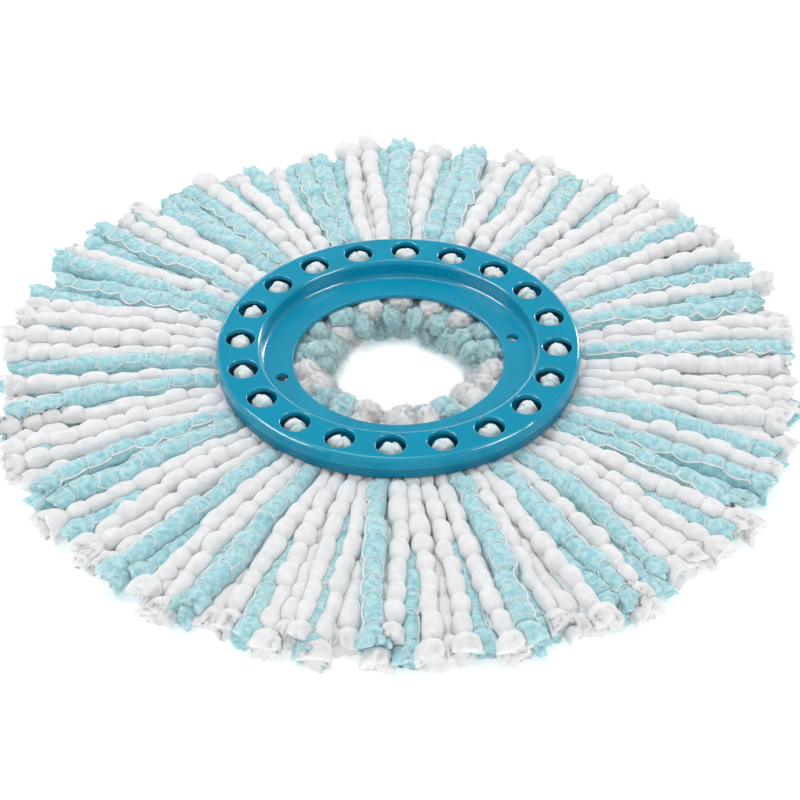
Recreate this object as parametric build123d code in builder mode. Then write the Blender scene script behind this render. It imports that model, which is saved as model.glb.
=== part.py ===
from build123d import *
from math import asin, degrees, hypot, radians, sin
import os

# Round yarn head of a spin mop, lying flat with its plastic ring up.
# Units are millimetres. The origin is on the floor under the ring's axis, and +Z is up.

# ---- driving dimensions: the ring ----
RING_TOP = 25.0  # height of the ring's top face above the floor
RING_RADIUS = 74.5  # outer radius of the cover's skirt
COVER_WALL = 2.0  # thickness of the cover's top wall and skirt
SEAM_DROP = 5.3  # depth of the skirt below the top face, down to the seam
RECESS_RADIUS = 56.6  # wall of the recess that takes the mop plate
RECESS_DEPTH = 8.0
RECESS_WALL = 1.8  # thickness of the recess wall and of the flange
OPENING_RADIUS = 43.4  # round opening in the flange
LOCATING_RADIUS = 49.2  # distance of the two locating holes from the axis
LOCATING_HOLE = 2.6
LOCATING_ANGLE = 18.0
OUTER_RIM_ROUND = 1.9  # rounded edges of the cover, from outside to inside
HOLE_RIM_ROUND = 0.7
RECESS_RIM_ROUND = 1.7
RECESS_FOOT_ROUND = 2.2
FLANGE_EDGE_ROUND = 0.4
RIM_STEP_BACK = 0.4  # the carrier's rim stands back from the cover's skirt
RIM_WALL = 3.1
RIM_TOP_ROUND = 1.3  # rounded edges of the carrier's rim, under the seam and at the bottom
RIM_FOOT_ROUND = 0.5
SPIGOT_HEIGHT = 1.8

# ---- driving dimensions: the yarn bundles ----
BUNDLES = 20
BUNDLE_ANGLE = 360.0 / BUNDLES
HOLE_CIRCLE = 65.0  # radius of the circle that the bundles stand on
COVER_HOLE = 5.95  # hole in the cover that shows the top of a bundle
CARRIER_HOLE = 4.3  # hole in the carrier that a bundle is pulled through
LEGS_PER_LAYER = 4  # long legs of one bundle in each of the two layers
LEG_STEP = BUNDLE_ANGLE / LEGS_PER_LAYER
LEG_TIP = 167.0  # distance of the tips of the long legs from the axis
LEG_DIAMETER = 8.4
LEG_ROOT_DIAMETER = 5.3  # squeezed together beside the ring
UPPER_LEG_ROOT_Z = 12.1
UPPER_LEG_TIP_Z = 11.0
FOLD_DROP = 0.3  # from the ring's top face down to the top of a fold
DOME_HEIGHT = 3.2  # rounded top of a fold

# ---- derived heights ----
COVER_UNDERSIDE = RING_TOP - COVER_WALL
SEAM_Z = RING_TOP - SEAM_DROP
FLANGE_TOP = RING_TOP - RECESS_DEPTH
RING_UNDERSIDE = FLANGE_TOP - RECESS_WALL

# ---- small clearances ----
FIT_GAP = 0.1  # between the two plastic mouldings
YARN_GAP = 0.3  # between yarn and plastic
LEG_GAP = 0.05  # between a long leg and the pad of roots
INNER_END_GAP = 0.7  # between an inner end and the pad of roots
PAD_GAP_ANGLE = 0.4  # half the gap between two pads


def corner(section, distance, height):
    """The corner of a half section at this distance from the axis and this height, as it is now."""
    return section.vertices().sort_by_distance((distance, height, 0))[0]


def cover_section():
    """Half section of the cover: flange, recess wall, top wall and skirt, with its rounded edges."""
    skirt_inside = RING_RADIUS - COVER_WALL
    wall_outside = RECESS_RADIUS + RECESS_WALL
    with BuildSketch(Plane.XZ) as section:
        with BuildLine():
            Polyline(
                (OPENING_RADIUS, RING_UNDERSIDE),
                (OPENING_RADIUS, FLANGE_TOP),
                (RECESS_RADIUS, FLANGE_TOP),
                (RECESS_RADIUS, RING_TOP),
                (RING_RADIUS, RING_TOP),
                (RING_RADIUS, SEAM_Z),
                (skirt_inside, SEAM_Z),
                (skirt_inside, COVER_UNDERSIDE),
                (wall_outside, COVER_UNDERSIDE),
                (wall_outside, RING_UNDERSIDE),
                close=True,
            )
        make_face()
        fillet(corner(section, OPENING_RADIUS, FLANGE_TOP), FLANGE_EDGE_ROUND)
        fillet(corner(section, RECESS_RADIUS, FLANGE_TOP), RECESS_FOOT_ROUND)
        fillet(corner(section, RECESS_RADIUS, RING_TOP), RECESS_RIM_ROUND)
        fillet(corner(section, RING_RADIUS, RING_TOP), OUTER_RIM_ROUND)
    return section.sketch


def carrier_section():
    """Half section of the carrier: flat plate, rim under the cover's skirt, spigot inside it."""
    rim_outside = RING_RADIUS - RIM_STEP_BACK
    rim_inside = rim_outside - RIM_WALL
    spigot_outside = RING_RADIUS - COVER_WALL - FIT_GAP
    plate_inside = RECESS_RADIUS + RECESS_WALL + FIT_GAP
    spigot_top = SEAM_Z + SPIGOT_HEIGHT
    with BuildSketch(Plane.XZ) as section:
        with BuildLine():
            Polyline(
                (plate_inside, RING_UNDERSIDE),
                (rim_outside, RING_UNDERSIDE),
                (rim_outside, SEAM_Z - FIT_GAP),
                (spigot_outside, SEAM_Z - FIT_GAP),
                (spigot_outside, spigot_top),
                (rim_inside, spigot_top),
                (rim_inside, FLANGE_TOP),
                (plate_inside, FLANGE_TOP),
                close=True,
            )
        make_face()
        fillet(corner(section, rim_outside, RING_UNDERSIDE), RIM_FOOT_ROUND)
        fillet(corner(section, rim_outside, SEAM_Z - FIT_GAP), RIM_TOP_ROUND)
    return section.sketch


# ---- the cover ring: what the mop plate drops into ----
JOINT_PIN_RADIUS = 1.6
SOCKET_DEPTH = 2.0
SOCKET_WALL = 1.3

with BuildPart() as upper_ring:
    add(cover_section())
    revolve(axis=Axis.Z)
    # sockets under the top wall, one between each two bundles, for the carrier's pins
    with BuildSketch(Plane.XY.offset(COVER_UNDERSIDE - SOCKET_DEPTH)):
        with PolarLocations(HOLE_CIRCLE, BUNDLES, start_angle=BUNDLE_ANGLE / 2):
            Circle(JOINT_PIN_RADIUS + SOCKET_WALL)
            Circle(JOINT_PIN_RADIUS + FIT_GAP, mode=Mode.SUBTRACT)
    extrude(amount=SOCKET_DEPTH)
    # round holes over the bundles
    with BuildSketch(Plane.XY.offset(RING_TOP)):
        with PolarLocations(HOLE_CIRCLE, BUNDLES):
            Circle(COVER_HOLE)
    extrude(amount=-COVER_WALL, mode=Mode.SUBTRACT)
    top_face = upper_ring.faces().filter_by(Plane.XY).sort_by(Axis.Z)[-1]
    round_edges = top_face.edges().filter_by(GeomType.CIRCLE)
    hole_rims = round_edges.filter_by(lambda edge: edge.radius < COVER_HOLE + 1)
    fillet(hole_rims, HOLE_RIM_ROUND)
    # two locating holes through the flange
    with BuildSketch(Plane.XY.offset(FLANGE_TOP)):
        with PolarLocations(LOCATING_RADIUS, 2, start_angle=LOCATING_ANGLE):
            Circle(LOCATING_HOLE)
    extrude(amount=-RECESS_WALL, mode=Mode.SUBTRACT)

# ---- the carrier ring: holds the yarn bundles from below ----
with BuildPart() as lower_ring:
    add(carrier_section())
    revolve(axis=Axis.Z)
    with BuildSketch(Plane.XY.offset(RING_UNDERSIDE)):
        with PolarLocations(HOLE_CIRCLE, BUNDLES):
            Circle(CARRIER_HOLE)
    extrude(amount=RECESS_WALL, mode=Mode.SUBTRACT)
    # pins that join the carrier to the cover
    with BuildSketch(Plane.XY.offset(FLANGE_TOP)):
        with PolarLocations(HOLE_CIRCLE, BUNDLES, start_angle=BUNDLE_ANGLE / 2):
            Circle(JOINT_PIN_RADIUS)
    extrude(amount=COVER_UNDERSIDE - FIT_GAP - FLANGE_TOP)


def straight_leg(start, tip, root_radius, full_radius, taper):
    """A strand of yarn on a straight axis: thin at its root, full after the taper, round at its tip."""
    run, rise = tip[0] - start[0], tip[1] - start[1]
    length = hypot(run, rise)
    axis_plane = Plane(origin=(start[0], 0, start[1]), x_dir=(run, 0, rise), z_dir=(0, -1, 0))
    round_start = length - full_radius
    with BuildPart() as leg:
        with BuildSketch(axis_plane):
            with BuildLine():
                Line((0, 0), (0, root_radius))
                if taper > 0:
                    Line((0, root_radius), (taper, full_radius))
                Line((taper, full_radius), (round_start, full_radius))
                middle = full_radius * sin(radians(45))
                ThreePointArc((round_start, full_radius), (round_start + middle, middle), (length, 0))
                Line((length, 0), (0, 0))
            make_face()
        revolve(axis=Axis((start[0], 0, start[1]), (run, 0, rise)))
    return leg.part


# ---- one bundle: its fold, the squeezed root pad, two inner ends and eight long legs ----
PAD_INSIDE = 61.0
PAD_OUTSIDE = 72.0
PAD_HALF_ANGLE = BUNDLE_ANGLE / 2 - PAD_GAP_ANGLE
PAD_BOTTOM = 0.3
PAD_CORNER = 1.5
PAD_TOP = RING_UNDERSIDE - YARN_GAP
FOLD_RADIUS = 4.6
FOLD_TOP = RING_TOP - FOLD_DROP
NECK_RADIUS = CARRIER_HOLE - YARN_GAP
NECK_BOTTOM = PAD_TOP - 1.0  # the neck starts inside the pad

with BuildPart() as fold:
    # the root pad: all the legs of the bundle, pressed together under the carrier
    with BuildSketch(Plane.XY.offset(PAD_BOTTOM)):
        with BuildLine():
            inner = CenterArc((0, 0), PAD_INSIDE, -PAD_HALF_ANGLE, 2 * PAD_HALF_ANGLE)
            outer = CenterArc((0, 0), PAD_OUTSIDE, -PAD_HALF_ANGLE, 2 * PAD_HALF_ANGLE)
            Line(inner @ 0, outer @ 0)
            Line(inner @ 1, outer @ 1)
        make_face()
    extrude(amount=PAD_TOP - PAD_BOTTOM)
    fillet(fold.edges().filter_by(Axis.Z), PAD_CORNER)
    # the neck through the carrier and the rounded fold above it
    neck_plane = Plane(origin=(HOLE_CIRCLE, 0, 0), x_dir=(1, 0, 0), z_dir=(0, -1, 0))
    belly_z = FOLD_TOP - DOME_HEIGHT
    dome_radius = (FOLD_RADIUS**2 + DOME_HEIGHT**2) / (2 * DOME_HEIGHT)
    dome_start = degrees(asin((belly_z - FOLD_TOP + dome_radius) / dome_radius))
    with BuildSketch(neck_plane):
        with BuildLine():
            Polyline(
                (0, NECK_BOTTOM),
                (NECK_RADIUS, NECK_BOTTOM),
                (NECK_RADIUS, FLANGE_TOP + YARN_GAP),
                (FOLD_RADIUS, belly_z),
            )
            CenterArc((0, FOLD_TOP - dome_radius), dome_radius, dome_start, 90 - dome_start)
            Line((0, FOLD_TOP), (0, NECK_BOTTOM))
        make_face()
    revolve(axis=Axis((HOLE_CIRCLE, 0, 0), (0, 0, 1)))

LEG_START = PAD_OUTSIDE + LEG_GAP
LEG_RADIUS = LEG_DIAMETER / 2
LEG_ROOT_RADIUS = LEG_ROOT_DIAMETER / 2
TAPER = (LEG_RADIUS - LEG_ROOT_RADIUS) / sin(radians(LEG_STEP / 2))
lower_root, lower_tip = (LEG_START, LEG_RADIUS), (LEG_TIP, LEG_RADIUS)
upper_root, upper_tip = (LEG_START, UPPER_LEG_ROOT_Z), (LEG_TIP, UPPER_LEG_TIP_Z)
lower_leg = straight_leg(lower_root, lower_tip, LEG_ROOT_RADIUS, LEG_RADIUS, TAPER)
upper_leg = straight_leg(upper_root, upper_tip, LEG_ROOT_RADIUS, LEG_RADIUS, TAPER)

INNER_START = PAD_INSIDE - INNER_END_GAP
UPPER_END_Z = 10.7
UPPER_END_RADIUS = 3.4
UPPER_END_TIP = 34.0
LOWER_END_RADIUS = 3.5
LOWER_END_TIP = 29.0


def inner_end(height, tip, radius):
    """A short end of yarn that reaches in under the flange."""
    return straight_leg((INNER_START, height), (tip, height), radius, radius, 0)


upper_end = inner_end(UPPER_END_Z, UPPER_END_TIP, UPPER_END_RADIUS)
lower_end = inner_end(LOWER_END_RADIUS, LOWER_END_TIP, LOWER_END_RADIUS)


def place(turn):
    """A location turned about the ring's axis."""
    return Location((0, 0, 0), (0, 0, turn))


def yarn_fold(turn):
    """The folded middle of one bundle with its two short inner ends."""
    with BuildPart() as node:
        with Locations(place(turn)):
            add(fold.part)
            add(upper_end)
            add(lower_end)
    return node.part


def yarn_legs(turn):
    """The eight long legs of one bundle: four in the upper layer, four between them below."""
    first = -LEG_STEP * (LEGS_PER_LAYER - 1) / 2
    with BuildPart() as node:
        for index in range(LEGS_PER_LAYER):
            with Locations(place(turn + first + index * LEG_STEP)):
                add(upper_leg)
            with Locations(place(turn + first + (index + 0.5) * LEG_STEP)):
                add(lower_leg)
    return node.part


def save(shape, name):
    """Write one node and print what it holds."""
    shape.label = name
    export_step(shape, f"parts/{name}.step")
    print(name, len(shape.solids()), "solids", round(shape.volume / 1000, 2), "cm3")


os.makedirs("parts", exist_ok=True)
save(upper_ring.part, "upper_ring")
save(lower_ring.part, "lower_ring")
for number in range(BUNDLES):
    turn = number * BUNDLE_ANGLE
    save(yarn_fold(turn), f"yarn_fold_{number + 1:02d}")
    save(yarn_legs(turn), f"yarn_legs_{number + 1:02d}")
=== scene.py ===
# %% [markdown]
# # A spin mop head: a plastic ring with a disc of chenille yarn
# The head lies flat with its ring up. Two plastic rings hold twenty bundles of yarn. Each bundle is
# folded in the middle, and the fold shows as a soft lump in one of the twenty holes of the upper ring.
# The rings come from the CAD frame as they are. All the yarn is made here, because yarn is soft, uneven
# and full of small detail, which mesh code says better than exact solids do.

# %% Load the frame
import math

import bmesh
import bpy
import numpy as np
from mathutils import Matrix, Vector


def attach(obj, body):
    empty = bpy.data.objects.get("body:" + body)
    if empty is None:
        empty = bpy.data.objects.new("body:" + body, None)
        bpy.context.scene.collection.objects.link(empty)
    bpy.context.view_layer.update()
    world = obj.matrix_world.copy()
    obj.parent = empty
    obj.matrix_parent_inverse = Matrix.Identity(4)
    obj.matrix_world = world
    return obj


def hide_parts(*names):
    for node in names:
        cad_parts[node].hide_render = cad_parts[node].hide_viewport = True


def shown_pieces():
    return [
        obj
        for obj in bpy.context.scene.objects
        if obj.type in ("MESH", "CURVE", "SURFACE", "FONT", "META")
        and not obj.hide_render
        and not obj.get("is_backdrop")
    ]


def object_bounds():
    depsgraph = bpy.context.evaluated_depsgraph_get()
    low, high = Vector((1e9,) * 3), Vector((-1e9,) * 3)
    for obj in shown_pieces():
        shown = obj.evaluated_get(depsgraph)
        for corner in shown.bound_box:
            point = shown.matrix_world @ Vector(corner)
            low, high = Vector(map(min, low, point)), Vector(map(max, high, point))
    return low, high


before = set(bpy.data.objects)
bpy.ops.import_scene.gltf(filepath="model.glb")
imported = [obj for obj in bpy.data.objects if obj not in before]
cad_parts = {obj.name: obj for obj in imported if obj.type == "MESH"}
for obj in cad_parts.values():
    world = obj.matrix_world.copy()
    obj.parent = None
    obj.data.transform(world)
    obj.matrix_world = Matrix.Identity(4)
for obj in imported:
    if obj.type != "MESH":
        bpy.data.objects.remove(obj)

MM = 0.001
cad_low, cad_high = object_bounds()
scene = bpy.context.scene
print("CAD box in mm:", [round(v / MM, 1) for v in (*cad_low, *cad_high)])

# %% [markdown]
# ## Camera
# A long lens from a little under one metre away keeps the disc from looking stretched at its near edge.
# The camera is placed from the centre of the ring's top: back along its own line of sight, then a few
# millimetres across and down to frame the disc. The ring's top is the top of the CAD box.

# %% Camera
AZIMUTH, ELEVATION, ROLL = math.radians(2.77), math.radians(38.96), math.radians(0.22)
LENS, CAMERA_DISTANCE = 107.79, 0.9801
ACROSS, DOWN = 0.000573, 0.02381

level = Vector((math.cos(AZIMUTH), math.sin(AZIMUTH), 0))
flat = math.cos(ELEVATION)
back = Vector((math.sin(AZIMUTH) * flat, -math.cos(AZIMUTH) * flat, math.sin(ELEVATION)))
upward = back.cross(level)
camera_x = level * math.cos(ROLL) - upward * math.sin(ROLL)
camera_y = level * math.sin(ROLL) + upward * math.cos(ROLL)
ring_top = Vector((0, 0, cad_high.z))

camera_data = bpy.data.cameras.new("camera")
camera_data.lens = LENS
camera_data.clip_start, camera_data.clip_end = 0.01, 20
camera = bpy.data.objects.new("camera", camera_data)
turn = Matrix((camera_x, camera_y, back)).transposed().to_4x4()
place = ring_top + back * CAMERA_DISTANCE + camera_x * ACROSS - camera_y * DOWN
camera.matrix_world = Matrix.Translation(place) @ turn
scene.collection.objects.link(camera)
scene.camera = camera
print("camera at", [round(v, 3) for v in place])

# %% [markdown]
# ## Routes
# A strand is a free length of yarn, so it gets a line first and a body later. A line is a short list of
# control points, each written as distance from the ring's axis, step sideways and height, in
# millimetres. A NURBS spline of order 3 through them is smooth everywhere, as limp yarn is, and Blender
# turns it into a row of points that the body can follow.

# %% Reading a route
UP = np.array([0.0, 0.0, 1.0])


def placed(angle, spots):
    """Points in the frame, in metres, of (distance, sideways, height) in mm about one direction."""
    c, s = math.cos(math.radians(angle)), math.sin(math.radians(angle))
    return [(MM * (r * c - w * s), MM * (r * s + w * c), MM * z) for r, w, z in spots]


def smooth_line(points):
    """The points of the NURBS line that these control points give."""
    curve = bpy.data.curves.new("route", "CURVE")
    curve.dimensions = "3D"
    curve.resolution_u = 12
    spline = curve.splines.new("NURBS")
    spline.points.add(len(points) - 1)
    for control, point in zip(spline.points, points):
        control.co = (*point, 1)
    spline.order_u = 3
    spline.use_endpoint_u = True
    holder = bpy.data.objects.new("route", curve)
    line = bpy.data.meshes.new_from_object(holder)
    found = np.array([v.co for v in line.vertices])
    bpy.data.objects.remove(holder)
    bpy.data.curves.remove(curve)
    bpy.data.meshes.remove(line)
    return found


class Route:
    """A smooth line, with its length and its directions at any place along it."""

    def __init__(self, points):
        self.points = smooth_line(points)
        steps = np.linalg.norm(np.diff(self.points, axis=0), axis=1)
        self.along = np.concatenate([[0], np.cumsum(steps)])
        self.length = self.along[-1]

    def at(self, s):
        return np.stack([np.interp(s, self.along, self.points[:, k]) for k in range(3)], -1)

    def beyond(self, s, ahead):
        """Points at places that may lie past the end, where the line goes straight on."""
        past = np.clip(s - self.length, 0, None)
        return self.at(np.clip(s, 0, self.length)) + ahead * past[:, None]

    def directions(self, s):
        """Ahead, sideways and upward at each place."""
        s = np.clip(s, 0, self.length)
        ahead = self.at(s + 0.8 * MM) - self.at(s - 0.8 * MM)
        ahead /= np.linalg.norm(ahead, axis=-1, keepdims=True)
        side = np.cross(UP, ahead)
        side /= np.linalg.norm(side, axis=-1, keepdims=True)
        return ahead, side, np.cross(ahead, side)


# %% [markdown]
# ## The order of the strands
# Each bundle has four strands in an upper layer and four in a lower one. About two in three are white
# and beaded, the others aqua, and no two bundles have the same order. The rows below start at the
# bundle at the back and go round clockwise: W is white and T is aqua, and the numbers are how far the
# tips reach from the axis, in millimetres. Yarn is cut to one length, so the tips differ only by how
# each strand lies.

# %% The order of the strands
BUNDLE_COUNT = 20
BUNDLE_STEP = 360 // BUNDLE_COUNT
UPPER_ROWS = [
    ("WTWT", (173, 170, 169, 162)), ("TWWW", (167, 171, 173, 168)),
    ("TWWW", (162, 167, 172, 174)), ("TWWT", (168, 171, 170, 167)),
    ("WTWW", (172, 162, 167, 165)), ("TWWW", (163, 161, 159, 161)),
    ("WTWT", (159, 157, 161, 161)), ("TWWW", (156, 162, 164, 161)),
    ("TWTW", (157, 163, 164, 166)), ("WTWW", (160, 166, 168, 164)),
    ("WWTW", (166, 158, 161, 167)), ("WWWT", (161, 166, 161, 159)),
    ("WWTW", (167, 163, 164, 162)), ("WWTT", (160, 163, 156, 158)),
    ("WWWT", (166, 164, 163, 160)), ("WTWW", (161, 153, 163, 167)),
    ("WWTT", (166, 164, 160, 169)), ("WTWW", (168, 170, 167, 169)),
    ("TTWW", (158, 165, 166, 161)), ("WTTW", (159, 157, 160, 168)),
]
LOWER_ROWS = [
    ("WTWT", (163, 166, 168, 160)), ("WWTW", (162, 165, 167, 164)),
    ("TWTW", (166, 163, 165, 168)), ("WTWT", (163, 167, 164, 162)),
    ("WTWW", (165, 161, 164, 160)), ("TWWT", (160, 158, 162, 163)),
    ("WWTW", (158, 163, 161, 158)), ("TWTW", (157, 167, 160, 158)),
    ("WTWT", (160, 162, 168, 161)), ("WTWT", (163, 160, 165, 161)),
    ("WTWW", (160, 163, 165, 158)), ("TWTW", (165, 160, 163, 160)),
    ("TWTW", (163, 166, 158, 161)), ("WTWT", (163, 158, 165, 162)),
    ("WTWT", (160, 163, 158, 164)), ("WTTW", (158, 162, 160, 163)),
    ("TWTW", (164, 160, 167, 163)), ("WTWT", (165, 167, 163, 166)),
    ("WTWT", (163, 166, 161, 163)), ("TTWT", (164, 160, 166, 162)),
]
UPPER_SLOTS = (6.75, 2.25, -2.25, -6.75)
LOWER_SLOTS = (9.0, 4.5, 0.0, -4.5)
print("aqua strands:", sum(row[0].count("T") for row in UPPER_ROWS), "of 80 in the upper layer")

# %% [markdown]
# ## How strands lie
# Nobody combs a mop. Each strand starts straight out from the ring, then wanders a little to one side
# and back, and its tip droops. Eight ways of lying are dealt out over the slots, each with its steps
# sideways and its rises at three stations and the tip. The lower layer lies nearer the floor, and each
# of its strands follows the gap between the two above it, as yarn that is pressed down does.

# %% How strands lie
ROOT_RADIUS = 66.0
STATIONS = (88.0, 108.0, 132.0)
LIES = [
    ((0.3, -0.7, 0.8, 2.2), (0.6, 0.4, 0.9, -0.2)),
    ((-0.5, 0.8, -1.2, -3.4), (-0.4, 0.2, -0.6, -2.2)),
    ((0.6, 1.3, 0.3, -2.1), (0.9, 0.3, 1.1, 0.3)),
    ((-0.4, -1.1, 0.6, 3.8), (-0.6, 0.3, -0.9, -2.9)),
    ((0.0, 0.9, 1.9, 0.6), (0.2, -0.5, 0.5, -1.2)),
    ((0.5, -0.6, -2.0, -0.9), (0.7, 0.1, -0.6, -2.4)),
    ((-0.6, 0.5, 1.4, 4.4), (0.1, 0.8, 1.2, 0.4)),
    ((0.2, -0.9, -0.4, -4.6), (-0.5, 0.2, 0.0, -1.6)),
]
UPPER_LIE_ORDER = (
    "0471625336051427257406136143705217305264"
    "4261035750273146741625400352671435601742"
)
LOWER_LIE_ORDER = (
    "5203714616420735703146252351706464025317"
    "3174620505263714471603521263475056370421"
)
UPPER_ROOT, UPPER_MIDDLE, UPPER_TIP = 11.8, 12.6, 7.6
LOWER_ROOT, LOWER_MIDDLE, LOWER_TIP = 6.4, 7.0, 4.6
DROOP_RUN, DROOP = 10.0, 1.8
OWN_SHARE = 0.25


def sideways_of(layer, place):
    """Steps sideways of the strand at this place in its layer; a lower one follows the gap above it."""
    if layer == "upper":
        return LIES[int(UPPER_LIE_ORDER[place])][0]
    before, after = sideways_of("upper", place - 1), sideways_of("upper", place)
    own = LIES[int(LOWER_LIE_ORDER[place])][0]
    return [(a + b) / 2 + OWN_SHARE * c for a, b, c in zip(before, after, own)]


def leg_spots(reach, sideways, rises, heights):
    """Control points of one long strand, as (distance, sideways, height) in mm."""
    root, middle, tip = heights
    levels = (middle, middle, (middle + tip) / 2)
    spots = [(ROOT_RADIUS, 0.0, root), (ROOT_RADIUS + 8, 0.0, root)]
    spots += [(r, w, z + up) for r, w, z, up in zip(STATIONS, sideways, levels, rises)]
    spots.append((reach - DROOP_RUN, 0.8 * sideways[-1], tip + DROOP + rises[-2]))
    return spots + [(reach, sideways[-1], tip + rises[-1])]


def bundle_number(row):
    """The CAD number of the bundle that a row stands for."""
    return (5 - row) % BUNDLE_COUNT + 1


def legs_of(row):
    """The eight long strands of one bundle: colour, layer, reach and route."""
    angle = 90 - BUNDLE_STEP * row
    layers = [
        ("upper", UPPER_ROWS, UPPER_SLOTS, UPPER_LIE_ORDER, (UPPER_ROOT, UPPER_MIDDLE, UPPER_TIP)),
        ("lower", LOWER_ROWS, LOWER_SLOTS, LOWER_LIE_ORDER, (LOWER_ROOT, LOWER_MIDDLE, LOWER_TIP)),
    ]
    legs = []
    for layer, rows, slots, order, heights in layers:
        colours, reaches = rows[row]
        for n in range(4):
            place = 4 * row + n
            spots = leg_spots(reaches[n], sideways_of(layer, place), LIES[int(order[place])][1], heights)
            route = Route(placed(angle + slots[n], spots))
            legs.append({"colour": colours[n], "layer": layer, "reach": reaches[n], "route": route,
                         "seed": 100 * row + 10 * (layer == "lower") + n})
    return legs


BUNDLES = [legs_of(row) for row in range(BUNDLE_COUNT)]
lengths = [leg["route"].length / MM for legs in BUNDLES for leg in legs]
print("long strands:", len(lengths), "from", round(min(lengths), 1), "to", round(max(lengths), 1), "mm")

# %% [markdown]
# ## Floor and light
# A plain pale floor, and light as in a product studio. The sky is soft and pale, with a darker band
# part of the way up, so that glossy plastic keeps its colour. One soft box lights everything. Four more
# light only what is glossy: they draw bright lines on the plastic's edges and leave the yarn alone.

# %% Floor and light
def principled(name):
    """A new material, with its node tree and its shader."""
    material = bpy.data.materials.new(name)
    material.use_nodes = True
    tree = material.node_tree
    return material, tree, tree.nodes["Principled BSDF"]


floor_mesh = bpy.data.meshes.new("floor")
floor_mesh.from_pydata([(-4, -4, 0), (4, -4, 0), (4, 4, 0), (-4, 4, 0)], [], [(0, 1, 2, 3)])
floor = bpy.data.objects.new("floor", floor_mesh)
scene.collection.objects.link(floor)
floor_finish, _, floor_shader = principled("pale_floor")
floor_shader.inputs["Base Color"].default_value = (0.93, 0.93, 0.93, 1)
floor_shader.inputs["Roughness"].default_value = 0.9
floor_shader.inputs["Specular IOR Level"].default_value = 0.1
floor_shader.inputs["Emission Color"].default_value = (1, 1, 1, 1)
floor_shader.inputs["Emission Strength"].default_value = 0.35
floor_mesh.materials.append(floor_finish)
floor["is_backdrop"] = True

world = bpy.data.worlds.new("studio")
scene.world = world
world.use_nodes = True
sky = world.node_tree
sky_place = sky.nodes.new("ShaderNodeTexCoord")
sky_split = sky.nodes.new("ShaderNodeSeparateXYZ")
sky_ramp = sky.nodes.new("ShaderNodeValToRGB")
sky_ramp.color_ramp.elements[0].position, sky_ramp.color_ramp.elements[1].position = 0.0, 1.0
sky_ramp.color_ramp.elements[0].color = (0.78, 0.79, 0.80, 1)
sky_ramp.color_ramp.elements[1].color = (1.0, 1.0, 1.0, 1)
for height, bright in ((0.45, 0.4), (0.66, 0.16), (0.82, 0.5)):
    sky_ramp.color_ramp.elements.new(height).color = (bright, bright, bright, 1)
sky.links.new(sky_place.outputs["Generated"], sky_split.inputs[0])
sky.links.new(sky_split.outputs["Z"], sky_ramp.inputs["Fac"])
sky.links.new(sky_ramp.outputs["Color"], sky.nodes["Background"].inputs["Color"])
sky.nodes["Background"].inputs["Strength"].default_value = 1.62


def soft_box(name, place, size, power, only_gloss=False):
    """An area light that looks at the middle of the ring; one only for gloss lights no matt surface."""
    data = bpy.data.lights.new(name, "AREA")
    data.shape = "RECTANGLE"
    data.size, data.size_y = size
    data.energy = power
    lamp = bpy.data.objects.new(name, data)
    lamp.location = place
    lamp.rotation_euler = (Vector((0, 0, 0.02)) - Vector(place)).to_track_quat("-Z", "Y").to_euler()
    lamp.visible_diffuse = not only_gloss
    scene.collection.objects.link(lamp)


soft_box("key_light", (-0.2, 0.35, 1.4), (0.6, 0.4), 4.5)
soft_box("right_gloss_box", (0.94, -0.34, 0.84), (0.55, 0.5), 20, True)
soft_box("left_gloss_box", (-1.0, -0.23, 0.80), (0.9, 0.5), 30, True)
soft_box("back_right_gloss_strip", (0.7, 1.0, 0.35), (0.2, 0.5), 8, True)
soft_box("back_gloss_wall", (0.0, 2.2, 0.45), (3.0, 0.6), 14, True)
scene.view_settings.view_transform = "Standard"

# %% [markdown]
# ## Finishes
# Every finish mixes a coarse and a fine pattern. Chenille is a pile of very short fibres: seen close it
# is matt, slightly mottled, and it catches a soft glow at its edges, which is what sheen is for. Moulded
# plastic is even in colour but never quite even in gloss.

# %% Finish helpers
def add_node(tree, kind, links=(), **settings):
    """A node with its settings and its incoming links, each (socket, other node, its socket)."""
    node = tree.nodes.new(kind)
    for key, value in settings.items():
        if key in node.inputs.keys():
            node.inputs[key].default_value = value
        else:
            setattr(node, key, value)
    for socket, other, other_socket in links:
        tree.links.new(other.outputs[other_socket], node.inputs[socket])
    return node


def mottle(tree, scale, detail=3.0):
    """A noise pattern fixed to the piece; scale is in waves per metre."""
    spot = add_node(tree, "ShaderNodeTexCoord")
    noise = add_node(tree, "ShaderNodeTexNoise", [("Vector", spot, "Object")])
    noise.inputs["Scale"].default_value = scale
    noise.inputs["Detail"].default_value = detail
    return noise


def tinted(tree, shader, noise, dark, light, low=0.35, high=0.65):
    """The shader's colour goes from dark to light with the noise."""
    ramp = add_node(tree, "ShaderNodeValToRGB", [("Fac", noise, "Fac")])
    ramp.color_ramp.elements[0].position, ramp.color_ramp.elements[1].position = low, high
    ramp.color_ramp.elements[0].color = (*dark, 1)
    ramp.color_ramp.elements[1].color = (*light, 1)
    tree.links.new(ramp.outputs["Color"], shader.inputs["Base Color"])


def bumped(tree, shader, coarse, fine, coarse_depth, fine_depth):
    """Two depths of relief, one on the other."""
    low = add_node(tree, "ShaderNodeBump", [("Height", coarse, "Fac")], Distance=coarse_depth, Strength=1.0)
    high = add_node(tree, "ShaderNodeBump", [("Height", fine, "Fac"), ("Normal", low, "Normal")],
                    Distance=fine_depth, Strength=1.0)
    tree.links.new(high.outputs["Normal"], shader.inputs["Normal"])


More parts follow.
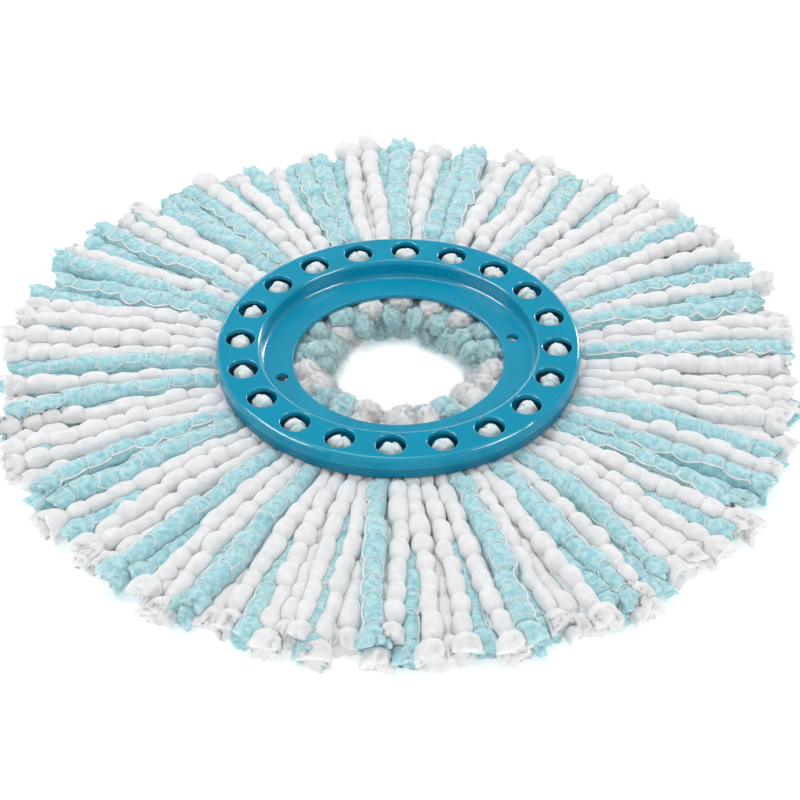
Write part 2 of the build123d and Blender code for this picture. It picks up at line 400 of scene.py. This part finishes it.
def chenille(name, dark, light, coarse, fine, sheen, depth):
    """A finish of soft pile yarn, which light enters a little way."""
    material, tree, shader = principled(name)
    wide, close = mottle(tree, coarse), mottle(tree, fine, 2.0)
    tinted(tree, shader, wide, dark, light)
    bumped(tree, shader, wide, close, depth, depth)
    shader.inputs["Roughness"].default_value = 0.92
    shader.inputs["Specular IOR Level"].default_value = 0.2
    shader.inputs["Sheen Weight"].default_value = sheen
    shader.inputs["Sheen Roughness"].default_value = 0.5
    shader.inputs["Subsurface Weight"].default_value = 1.0
    shader.inputs["Subsurface Radius"].default_value = (1.0, 1.0, 1.0)
    shader.inputs["Subsurface Scale"].default_value = 2.2 * MM
    return material


white_yarn = chenille("white_chenille", (0.80, 0.80, 0.81), (0.88, 0.88, 0.885), 240, 1600, 0.1, 0.00018)
aqua_yarn = chenille("aqua_chenille", (0.34, 0.65, 0.71), (0.57, 0.83, 0.87), 420, 1700, 0.2, 0.0004)
fold_yarn = chenille("folded_chenille", (0.64, 0.80, 0.79), (0.90, 0.90, 0.90), 300, 1500, 0.1, 0.0003)
print("chenille finishes made")

# %% Thread and plastic finishes
def thread_finish():
    """Fine white thread with a slight twist."""
    material, tree, shader = principled("net_thread")
    wide, close = mottle(tree, 300), mottle(tree, 3000, 1.0)
    tinted(tree, shader, wide, (0.78, 0.84, 0.85), (0.90, 0.93, 0.93))
    bumped(tree, shader, wide, close, 0.0001, 0.0002)
    shader.inputs["Roughness"].default_value = 0.75
    return material


SATIN_BELOW, GLOSS_ABOVE, SATIN = 17.1 * MM, 17.5 * MM, 0.16


def moulded(name, dark, light, gloss):
    """A finish of moulded plastic: faint flow marks in colour, gloss and relief, and a satin flange."""
    material, tree, shader = principled(name)
    flow, grain = mottle(tree, 45, 4.0), mottle(tree, 2200, 1.0)
    tinted(tree, shader, flow, dark, light, 0.3, 0.7)
    gloss_range = add_node(tree, "ShaderNodeMapRange", [("Value", flow, "Fac")])
    gloss_range.inputs["To Min"].default_value, gloss_range.inputs["To Max"].default_value = gloss
    spot = add_node(tree, "ShaderNodeTexCoord")
    height = add_node(tree, "ShaderNodeSeparateXYZ", [("Vector", spot, "Object")])
    satin = add_node(tree, "ShaderNodeMapRange", [("Value", height, "Z")])
    satin.inputs["From Min"].default_value = SATIN_BELOW
    satin.inputs["From Max"].default_value = GLOSS_ABOVE
    satin.inputs["To Min"].default_value = SATIN
    satin.inputs["To Max"].default_value = 0.0
    rough = add_node(tree, "ShaderNodeMath", operation="ADD")
    tree.links.new(gloss_range.outputs["Result"], rough.inputs[0])
    tree.links.new(satin.outputs["Result"], rough.inputs[1])
    tree.links.new(rough.outputs["Value"], shader.inputs["Roughness"])
    bumped(tree, shader, flow, grain, 0.0004, 0.00002)
    shader.inputs["Specular IOR Level"].default_value = 0.34
    return material


net_thread = thread_finish()
ring_plastic = moulded("ring_plastic", (0.001, 0.285, 0.45), (0.002, 0.325, 0.505), (0.08, 0.15))
carrier_plastic = moulded("carrier_plastic", (0.001, 0.2, 0.33), (0.002, 0.235, 0.38), (0.1, 0.18))
for node_name, finish in (("upper_ring", ring_plastic), ("lower_ring", carrier_plastic)):
    for material_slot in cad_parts[node_name].material_slots:
        material_slot.material = finish
print("plastic on", [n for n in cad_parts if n.endswith("ring")])

# %% [markdown]
# ## Building blocks of yarn
# A strand is a row of rings swept along its route. The rings' radius makes the beads, and a sum of
# waves in space makes the surface uneven. A Parts box collects points and faces from many strands, and
# turns them into one Blender object at the end, which is far quicker than joining objects.

# %% Parts box
class Parts:
    """Collects points and faces with their finish, to become one mesh."""

    def __init__(self):
        self.points, self.faces, self.finishes, self.count = [], [], [], 0

    def add(self, points, faces, finish=0):
        self.points.append(np.asarray(points).reshape(-1, 3))
        for size_faces in faces:
            self.faces.extend((np.asarray(size_faces) + self.count).tolist())
            self.finishes.extend([finish] * len(size_faces))
        self.count += len(self.points[-1])

    def made(self, name, materials):
        """The object, smooth shaded, riding on the head's one body."""
        points = np.concatenate(self.points)
        mesh = bpy.data.meshes.new(name)
        mesh.from_pydata(points.tolist(), [], self.faces)
        for material in materials:
            mesh.materials.append(material)
        mesh.polygons.foreach_set("material_index", self.finishes)
        mesh.polygons.foreach_set("use_smooth", [True] * len(mesh.polygons))
        piece = bpy.data.objects.new(name, mesh)
        scene.collection.objects.link(piece)
        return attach(piece, "root")


RING_UNDERSIDE, RING_OUTSIDE, FLANGE_EDGE = 15.0 * MM, 75.2 * MM, 41.0 * MM
FLOOR_GAP = 0.12 * MM


def clear_of_rings(points):
    """Yarn points, pressed down where the plastic rings lie over them, and off the floor."""
    distance = np.hypot(points[..., 0], points[..., 1])
    covered = (distance > FLANGE_EDGE) & (distance < RING_OUTSIDE)
    high = np.where(covered, RING_UNDERSIDE, 1.0)
    points[..., 2] = np.clip(points[..., 2], FLOOR_GAP, high)
    return points


def tube_faces(rings, sides):
    """Four-sided faces between rings of points, facing out."""
    j, i = np.meshgrid(np.arange(rings - 1), np.arange(sides), indexing="ij")
    a, b = j * sides + i, j * sides + (i + 1) % sides
    return np.stack([a, b, b + sides, a + sides], -1).reshape(-1, 4)


def cap_faces(ring_start, centre, sides, at_end):
    """Triangles from a centre point to one ring."""
    i = np.arange(sides)
    a, b = ring_start + i, ring_start + (i + 1) % sides
    c = np.full(sides, centre)
    return np.stack([c, a, b] if at_end else [c, b, a], -1)


def waves(points, size, luck):
    """Soft unevenness between about -1 and 1; size is the distance between lumps."""
    total = np.zeros(points.shape[:-1])
    for _ in range(4):
        way = luck.normal(size=3)
        way *= 2 * math.pi / size / np.linalg.norm(way)
        total += np.sin(points @ way + luck.uniform(0, 2 * math.pi))
    return total / 2.2


# %% [markdown]
# ## White strands
# A white strand is a string of oval beads, about ten millimetres apart, pinched between by its core
# thread. It is thinner where it leaves the ring and full after forty millimetres. A true pile would need
# millions of fibres, so the pile's outline is modelled instead: it reads as soft because the beads
# differ, sit slightly off the line and have no sharp edge.

# %% Bead profile
TAPER, TUFT = 38 * MM, 9 * MM
ROOT_SCALE, LOWER_ROOT_SCALE = 0.84, 1.0
BEAD_STEPS = np.array([0.015, 0.06, 0.14, 0.25, 0.38, 0.5, 0.62, 0.75, 0.86, 0.94, 0.985])


def full_size(s, root=ROOT_SCALE):
    """How full a strand is at each place: thinner at the ring, full after the taper."""
    free = np.clip((s - 7 * MM) / TAPER, 0, 1)
    return root + (1 - root) * np.sin(free * math.pi / 2)


def bead_places(length, pitch, luck):
    """Where the pinches of one strand are, from its root to its tuft."""
    count = max(2, round((length - TUFT) / pitch))
    sizes = luck.uniform(0.74, 1.26, count)
    return np.concatenate([[0], np.cumsum(sizes / sizes.sum() * (length - TUFT))])


def bead_profile(pinches, widest, waist, roundness, luck):
    """Places along the strand, radius and bead shifts there."""
    places, radii, shifts = [], [], []
    waists = waist * luck.uniform(0.88, 1.3, len(pinches))
    for n, (start, end) in enumerate(zip(pinches[:-1], pinches[1:])):
        swell = (1 - (2 * BEAD_STEPS - 1) ** 2) ** roundness
        big = widest * luck.uniform(0.84, 1.08)
        thin = waists[n] + (waists[n + 1] - waists[n]) * BEAD_STEPS
        off = luck.normal(0, 0.6 * MM, 2)
        places.append(start + BEAD_STEPS * (end - start))
        radii.append(thin + (big - thin) * swell)
        shifts.append(swell[:, None] * off)
    return np.concatenate(places), np.concatenate(radii), np.concatenate(shifts)


def ring_points(route, places, radii, shifts, angles):
    """A grid of points, one ring for each place; radii may differ round a ring."""
    ahead, side, top = route.directions(places)
    centre = route.beyond(places, ahead) + side * shifts[:, :1] + top * shifts[:, 1:]
    radii = radii if radii.ndim == 2 else radii[:, None]
    out = side[:, None] * np.cos(angles)[None, :, None] + top[:, None] * np.sin(angles)[None, :, None]
    return centre[:, None] + out * radii[..., None], out


# %% [markdown]
# ## Cut ends
# Where a strand is cut, its pile opens into a brush, wider than the beads, with deep folds along it and
# a ragged edge. The brush's rings swell quickly and stay wide, each lobe ends at its own distance, and
# the last rings turn in to a hollow middle. Coarse fibres then break up its edge. The short ends inside
# the ring close as a dome instead, because their pile is brushed round.

# %% Cut ends
TUFT_ALONG = np.array([0.03, 0.1, 0.2, 0.32, 0.45, 0.58, 0.7, 0.8, 0.9, 0.97, 1.0, 0.99, 0.95, 0.9])
TUFT_CLOSING = np.array([1, 1, 1, 1, 1, 1, 1, 1, 1, 1, 0.93, 0.78, 0.5, 0.2])
DOME_CLOSING = np.append(np.sqrt(1.02 - TUFT_ALONG[:11] ** 2), [0.1, 0.06, 0.02])


def tuft_points(route, start, waist, width, angles, luck, ragged, closing):
    """The rings of one cut end."""
    u, closing = TUFT_ALONG[:, None], closing[:, None]
    swell = np.sin(np.clip(u / 0.5, 0, 1) * math.pi / 2) * (0.94 + 0.1 * u)
    folds = 0.5 * np.abs(np.sin(1.5 * angles + luck.uniform(0, 6)))
    folds = folds + 0.5 * np.abs(np.sin(3.5 * angles + luck.uniform(0, 6)))
    fine = np.sin(9 * angles + luck.uniform(0, 6)) + 0.7 * np.sin(14 * angles + luck.uniform(0, 6))
    radius = (waist + (width - waist) * swell) * closing
    radius = radius * (1 + ragged * u * (0.4 * (folds[None] - 0.62) + 0.06 * fine[None]))
    shifts = luck.normal(0, 0.5 * MM, 2)[None] * u
    points, out = ring_points(route, start + TUFT_ALONG * TUFT, radius, shifts, angles)
    ahead = route.directions(np.array([route.length]))[0][0]
    lean = 1.4 * MM * np.sin(2 * angles + luck.uniform(0, 6)) + 3.0 * MM * (folds - 0.6) + 0.5 * MM * fine
    return points + ahead * (ragged * u ** 2 * closing * lean[None])[..., None], out


def add_strand(box, route, widest, waist, pitch, roundness, sides, rough, tuft_width, seed,
               finish=0, root=ROOT_SCALE, ragged=1.0, closing=TUFT_CLOSING):
    """One strand with beads and a cut end; gives back its pinches, its skin and its luck."""
    luck = np.random.default_rng(seed)
    girth = luck.uniform(0.9, 1.04)
    angles = np.arange(sides) * 2 * math.pi / sides
    pinches = bead_places(route.length, pitch, luck)
    places, radii, shifts = bead_profile(pinches, widest * girth, waist * girth, roundness, luck)
    radii = radii * full_size(places, root)
    points, out = ring_points(route, places, radii, shifts, angles)
    uneven = waves(points, 4.5 * MM, luck) * rough[0] + waves(points, 1.5 * MM, luck) * rough[1]
    points = points + out * uneven[..., None]
    width = tuft_width * luck.uniform(0.9, 1.08)
    tuft, out = tuft_points(route, pinches[-1], waist * girth, width, angles, luck, ragged, closing)
    tuft = tuft + out * (waves(tuft, 2.6 * MM, luck) * (rough[0] + 0.15 * MM))[..., None]
    grid = clear_of_rings(np.concatenate([points, tuft]))
    rings = len(grid)
    centres = np.array([grid[0].mean(0), grid[-1].mean(0)])
    faces = [tube_faces(rings, sides), cap_faces(0, rings * sides, sides, False),
             cap_faces((rings - 1) * sides, rings * sides + 1, sides, True)]
    box.add(np.concatenate([grid.reshape(-1, 3), centres]), faces, finish)
    return pinches, (places, radii, shifts), luck


# %% [markdown]
# ## Aqua strands
# An aqua strand is thicker, with barrel-shaped cells. A fine white thread lies in an arc over each
# pinch, and a heavier one zigzags along one flank and ties the arcs together. Loose fibres stand out
# of the pile, most of all at the ring and at the cut end.

# %% Threads
def add_thread(box, line, radius, finish=0, sides=6):
    """A thin round thread along a row of points."""
    line = np.asarray(line)
    ahead = np.gradient(line, axis=0)
    ahead /= np.linalg.norm(ahead, axis=1, keepdims=True)
    side = np.cross(ahead, UP + np.array([0.13, 0.29, 0]))
    side /= np.linalg.norm(side, axis=1, keepdims=True)
    top = np.cross(side, ahead)
    angles = np.arange(sides) * 2 * math.pi / sides
    up_part, side_part = np.cos(angles)[None, :, None], np.sin(angles)[None, :, None]
    points = line[:, None] + radius * (top[:, None] * up_part + side[:, None] * side_part)
    points = clear_of_rings(points)
    ends = np.array([line[0], line[-1]])
    count = len(line)
    faces = [tube_faces(count, sides)[:, ::-1], cap_faces(0, count * sides, sides, True),
             cap_faces((count - 1) * sides, count * sides + 1, sides, False)]
    box.add(np.concatenate([points.reshape(-1, 3), ends]), faces, finish)


def add_net(box, route, pinches, skin, luck):
    """The white thread net on the skin of one aqua strand."""
    def on_surface(places, angles, proud):
        radius = np.interp(places, skin[0], skin[1]) + proud
        _, side, top = route.directions(places)
        centre = route.at(places) + side * np.interp(places, skin[0], skin[2][:, 0])[:, None]
        centre = centre + top * np.interp(places, skin[0], skin[2][:, 1])[:, None]
        return centre + radius[:, None] * (side * np.cos(angles)[:, None] + top * np.sin(angles)[:, None])

    flank = 1 if luck.random() < 0.5 else -1
    around = np.linspace(-0.75, 0.75, 19)
    for pinch, after in zip(pinches[1:], [*pinches[2:], pinches[-1] + 4 * MM]):
        bow = luck.uniform(1.4, 2.6) * MM
        arc_places = np.clip(pinch - bow * np.cos(around * 2.0) + 0.4 * MM, 0, route.length)
        arc_angles = math.pi / 2 - flank * (around * 1.35 + 0.1)
        add_thread(box, on_surface(arc_places, arc_angles, 0.05 * MM), 0.24 * MM)
        loop = np.linspace(0, 1, 13)
        side_places = pinch + (after - pinch) * loop
        for side, heavy, shown in ((flank, 0.42, 1.0), (-flank, 0.22, 0.45)):
            start, bulge = luck.uniform(0.6, 0.8), luck.uniform(0.1, 0.55)
            side_angles = math.pi / 2 + side * (start + bulge * np.sin(math.pi * loop))
            if luck.random() < shown:
                add_thread(box, on_surface(side_places, side_angles, 0.15 * MM), heavy * MM)


# %% Fibres
def add_fibres(box, places, route, radius, reach, half, luck, finish=0, forward=0.0):
    """Loose fibres at places along a strand: thin closed spikes that stand out and lean."""
    count = len(places)
    angles = luck.uniform(0, 2 * math.pi, count)
    ahead, side, top = route.directions(places)
    out = side * np.cos(angles)[:, None] + top * np.sin(angles)[:, None]
    centre = route.beyond(places, ahead)
    foot = centre + out * (radius * full_size(places))[:, None] * luck.uniform(0.8, 0.95, count)[:, None]
    lean = out + forward * ahead + 0.6 * luck.normal(size=(count, 3))
    lean /= np.linalg.norm(lean, axis=1, keepdims=True)
    tip = foot + lean * (luck.uniform(0.4, 1, count) * reach)[:, None]
    across = np.cross(lean, ahead + 0.1)
    across /= np.linalg.norm(across, axis=1, keepdims=True)
    other = np.cross(lean, across)
    points = np.stack([foot + across * half, foot - across * half, foot + other * 1.7 * half, tip], 1)
    points = clear_of_rings(points)
    base = 4 * np.arange(count)[:, None]
    faces = np.concatenate([base + np.array(f) for f in ((0, 1, 2), (0, 3, 1), (1, 3, 2), (2, 3, 0))])
    box.add(points.reshape(-1, 3), [faces], finish)


def spread(low, high, count, luck):
    """Random places between two distances along a strand."""
    return luck.uniform(low, high, count)


# %% [markdown]
# ## Long strands of each bundle
# The two white strands of each bundle that reach furthest are each a piece of their own, swept along
# their own routes and kept close to them. The other six of a bundle are one piece, and the net thread
# on its aqua strands is another, because it has a finish of its own.

# %% Long strands
WHITE_WIDE, WHITE_WAIST, WHITE_PITCH = 4.35 * MM, 2.5 * MM, 10.2 * MM
LOWER_STOUT = 1.16
AQUA_WIDE, AQUA_WAIST, AQUA_PITCH = 5.1 * MM, 4.2 * MM, 10.4 * MM
WHITE_TUFT, AQUA_TUFT = 5.9 * MM, 6.1 * MM
NEAR_RING = (8 * MM, 22 * MM)
YARN_DIAMETER, YARN_LENGTH, LOOSEST = 9.0 * MM, 0.100, 7.4 * MM


def add_leg(box, net, leg):
    """One long strand of either colour."""
    upper, route = leg["layer"] == "upper", leg["route"]
    stout, root = (1.0, ROOT_SCALE) if upper else (LOWER_STOUT, LOWER_ROOT_SCALE)
    if leg["colour"] == "W":
        sides = 28 if upper else 20
        pinches, _, luck = add_strand(box, route, WHITE_WIDE * stout, WHITE_WAIST * stout, WHITE_PITCH, 0.5,
                                      sides, (0.14 * MM, 0.0), WHITE_TUFT, leg["seed"], root=root)
        edge = spread(pinches[-1] + 0.5 * TUFT, pinches[-1] + 0.95 * TUFT, 160, luck)
        add_fibres(box, edge, route, WHITE_TUFT * 0.92, 1.1 * MM, 0.22 * MM, luck, forward=0.8)
        return
    sides, loose = (32, 220) if upper else (22, 80)
    pinches, skin, luck = add_strand(box, route, AQUA_WIDE, AQUA_WAIST, AQUA_PITCH, 0.4, sides,
                                     (0.2 * MM, 0.16 * MM), AQUA_TUFT, leg["seed"], 1)
    for start, end, count, reach in ((0, route.length, loose, 2.0 * MM), (*NEAR_RING, 120, 2.8 * MM)):
        places = spread(start, end, count, luck)
        add_fibres(box, places, route, AQUA_WIDE, reach, 0.08 * MM, luck, 1)
    edge = spread(pinches[-1] + 0.5 * TUFT, pinches[-1] + 1.0 * TUFT, 140, luck)
    add_fibres(box, edge, route, AQUA_TUFT * 0.92, 2.4 * MM, 0.13 * MM, luck, 1, forward=1.0)
    add_net(net, route, pinches, skin, luck)


def kept_close(box, line, limit):
    """Pulls the loosest points of a strand back to within limit of its line."""
    points = np.concatenate(box.points)
    nearest = np.argmin(np.linalg.norm(points[:, None] - line[None], axis=2), axis=1)
    away = points - line[nearest]
    distance = np.linalg.norm(away, axis=1)
    far = distance > limit
    points[far] = line[nearest[far]] + away[far] * (limit / distance[far])[:, None]
    box.points = [points]


def declare_leg(leg, name, node):
    """A long white strand as a piece of its own, kept close to its line."""
    box = Parts()
    add_leg(box, None, leg)
    kept_close(box, leg["route"].points, LOOSEST)
    piece = box.made(name, [white_yarn])
    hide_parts(node)


for row, legs in enumerate(BUNDLES):
    number = bundle_number(row)
    node = f"yarn_legs_{number:02d}"
    whites = sorted((leg for leg in legs if leg["layer"] == "upper" and leg["colour"] == "W"),
                    key=lambda leg: -leg["reach"])[:2]
    for letter, leg in zip("ab", whites):
        declare_leg(leg, f"long_strand_{number:02d}_{letter}", node)
    rest, net = Parts(), Parts()
    for leg in legs:
        if leg not in whites:
            add_leg(rest, net, leg)
    strands = rest.made(f"strands_{number:02d}", [white_yarn, aqua_yarn])
    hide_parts(node)
    net.made(f"net_thread_{number:02d}", [net_thread])

# %% [markdown]
# ## Folds in the holes
# Where a bundle is pulled through its hole, its folded middle shows as a soft lump, longer along the
# ring than across it, with one or two creases where strands lie side by side. Each lump starts as a ball
# of fine triangles, is squashed to size, and then creased along slanting planes.

# %% Folds
HOLE_CIRCLE = 65 * MM
FOLD_TOP = cad_high.z + 0.3 * MM
NECK_BOTTOM, NECK_TOP, NECK_RADIUS = 12 * MM, 20.5 * MM, 3.7 * MM
PAD_HALF, PAD_MIDDLE = np.array([5.6 * MM, 9.2 * MM, 6.6 * MM]), 7.2 * MM
CREASES = [
    (0.25, 0.5, 0.9), (-0.35, -0.3, 0.9), (0.0, 0.0, 0.0), (0.45, 0.8, 0.7),
    (-0.1, 0.4, 0.8), (0.3, -0.6, 0.9), (0.0, 0.0, 0.0), (-0.45, 0.2, 0.7),
]


def ball(levels):
    """Points and triangles of a fine ball of radius 1."""
    shape = bmesh.new()
    bmesh.ops.create_icosphere(shape, subdivisions=levels, radius=1)
    points = np.array([v.co for v in shape.verts])
    faces = np.array([[v.index for v in f.verts] for f in shape.faces])
    shape.free()
    return points, faces


BALL, BALL_FACES = ball(5)
PAD_BALL, PAD_FACES = ball(3)


def fold_lump(number, luck):
    """The lump's points about its own middle: x across the ring, y along it, z up."""
    across, along, high = luck.uniform(3.8, 4.3) * MM, luck.uniform(4.6, 5.2) * MM, 5.2 * MM
    points = BALL * np.array([across, along, high])
    for turn_by in (0, 3):
        where, slant, depth = CREASES[(number * 3 + turn_by) % len(CREASES)]
        distance = points[:, 1] - where * along - slant * points[:, 0]
        points -= BALL * (depth * MM * np.exp(-((distance / (0.55 * MM)) ** 2)))[:, None]
    twist = np.sin((points[:, 1] + 0.8 * points[:, 0]) * 2 * math.pi / (1.15 * MM))
    points += BALL * (0.07 * MM * twist + 0.25 * MM * waves(points, 3.2 * MM, luck))[:, None]
    return points


def neck_points(bottom, top, radius, sides=20):
    """Rings of a slightly uneven upright neck."""
    angles = np.arange(sides) * 2 * math.pi / sides
    heights = np.linspace(bottom, top, 8)
    wobble = 1 + 0.06 * np.sin(3 * angles)[None] * np.cos(heights * 900)[:, None]
    return np.stack([radius * wobble * np.cos(angles), radius * wobble * np.sin(angles),
                     np.repeat(heights[:, None], sides, 1)], -1)


def gather_points(luck):
    """The soft pad of roots under the rings, as a squashed ball."""
    power = np.sign(PAD_BALL) * np.abs(PAD_BALL) ** 0.55
    points = power * PAD_HALF
    points += PAD_BALL * (0.5 * MM * waves(points, 4 * MM, luck))[:, None]
    points[:, 2] = np.maximum(points[:, 2] + PAD_MIDDLE, FLOOR_GAP)
    return points


for row in range(BUNDLE_COUNT):
    number = bundle_number(row)
    luck = np.random.default_rng(7000 + number)
    angle = math.radians(90 - BUNDLE_STEP * row)
    c, s = math.cos(angle), math.sin(angle)
    spin = np.array([[c, -s, 0], [s, c, 0], [0, 0, 1]])
    hole = spin @ np.array([HOLE_CIRCLE, 0, 0])
    lump = fold_lump(number, luck)
    lump[:, 2] += FOLD_TOP - lump[:, 2].max()
    box = Parts()
    box.add(lump @ spin.T + hole, [BALL_FACES])
    neck = neck_points(NECK_BOTTOM, NECK_TOP, NECK_RADIUS)
    box.add(neck.reshape(-1, 3) @ spin.T + hole, [tube_faces(8, 20)])
    box.add(gather_points(luck) @ spin.T + hole, [PAD_FACES])
    fold = box.made(f"fold_{number:02d}", [fold_yarn])
    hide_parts(f"yarn_fold_{number:02d}")
print("folds:", BUNDLE_COUNT)

# %% [markdown]
# ## Inner ends
# On the inner side each bundle ends in short tufts that reach in under the flange, some further than
# others. They are rounder and fluffier than the long strands, with the white ones mostly on top and
# the aqua ones below. Each is a dome with fine spikes of pile all over it.

# %% Inner ends
INNER_ROWS = "WTT WTT WTT TTT TWT WWW WWW WTW TTT WTW WWW WWW TWW TTT WTW WWT TTT TTW TWT WTT".split()
INNER_REACH, LOWER_REACH, UNLIKE = (31.5, 6.0), (28.0, 3.0), 2.5
INNER_LAYERS = ((10.6, 0.6, 0.0), (5.2, -1.5, 0.0), (7.0, 0.5, 9.0))
FLUFF = ((-8 * MM, 0.0, 300, 4.0 * MM, 0.3), (0.0, TUFT, 520, 4.4 * MM, 0.9))
FLUFF_RADIUS, FLUFF_HALF = 5.8 * MM, 0.09 * MM


def inner_reach(layer, angle, luck):
    """How near the axis an inner end comes: the front ones come nearest, and no two quite alike."""
    middle, more_at_back = INNER_REACH if layer == 0 else LOWER_REACH
    return middle + more_at_back * math.sin(math.radians(angle)) + luck.uniform(-UNLIKE, UNLIKE)


def inner_spots(reach, height, sideways):
    """Control points of one inner end."""
    return [(61, 0, height), (54, 0, height), (45, sideways, height), (reach, sideways * 1.6, height - 0.6)]


chance, uneven = np.random.default_rng(41), np.random.default_rng(5)
for row in range(BUNDLE_COUNT):
    number = bundle_number(row)
    box = Parts()
    for layer, colour in enumerate(INNER_ROWS[row]):
        height, sideways, between = INNER_LAYERS[layer]
        reach = inner_reach(layer, 90 - BUNDLE_STEP * row, uneven)
        lift, slip = chance.uniform(-1.4, 0.6), chance.uniform(-2.2, 2.2)
        spots = inner_spots(reach, height + lift, sideways + slip)
        route = Route(placed(90 - BUNDLE_STEP * row - between, spots))
        finish = 0 if colour == "W" else 1
        seed = 9000 + 10 * row + layer
        _, _, luck = add_strand(box, route, 6.2 * MM, 5.8 * MM, 9 * MM, 0.5, 36, (0.4 * MM, 0.1 * MM),
                                6.5 * MM, seed, finish, ragged=0.35, closing=DOME_CLOSING)
        for start, end, count, length, forward in FLUFF:
            steps = spread(start, end, count, luck)
            radii = FLUFF_RADIUS * np.sqrt(1 - (np.clip(steps, 0, None) / TUFT) ** 2)
            places = route.length - TUFT + steps
            add_fibres(box, places, route, radii, length, FLUFF_HALF, luck, finish, forward)
    ends = box.made(f"inner_ends_{number:02d}", [white_yarn, aqua_yarn])
    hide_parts(f"yarn_fold_{number:02d}")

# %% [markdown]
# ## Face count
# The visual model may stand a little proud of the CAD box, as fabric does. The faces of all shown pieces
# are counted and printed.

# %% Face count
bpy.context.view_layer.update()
faces_made = sum(len(o.data.polygons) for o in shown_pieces() if o.type == "MESH")
print("faces:", faces_made)
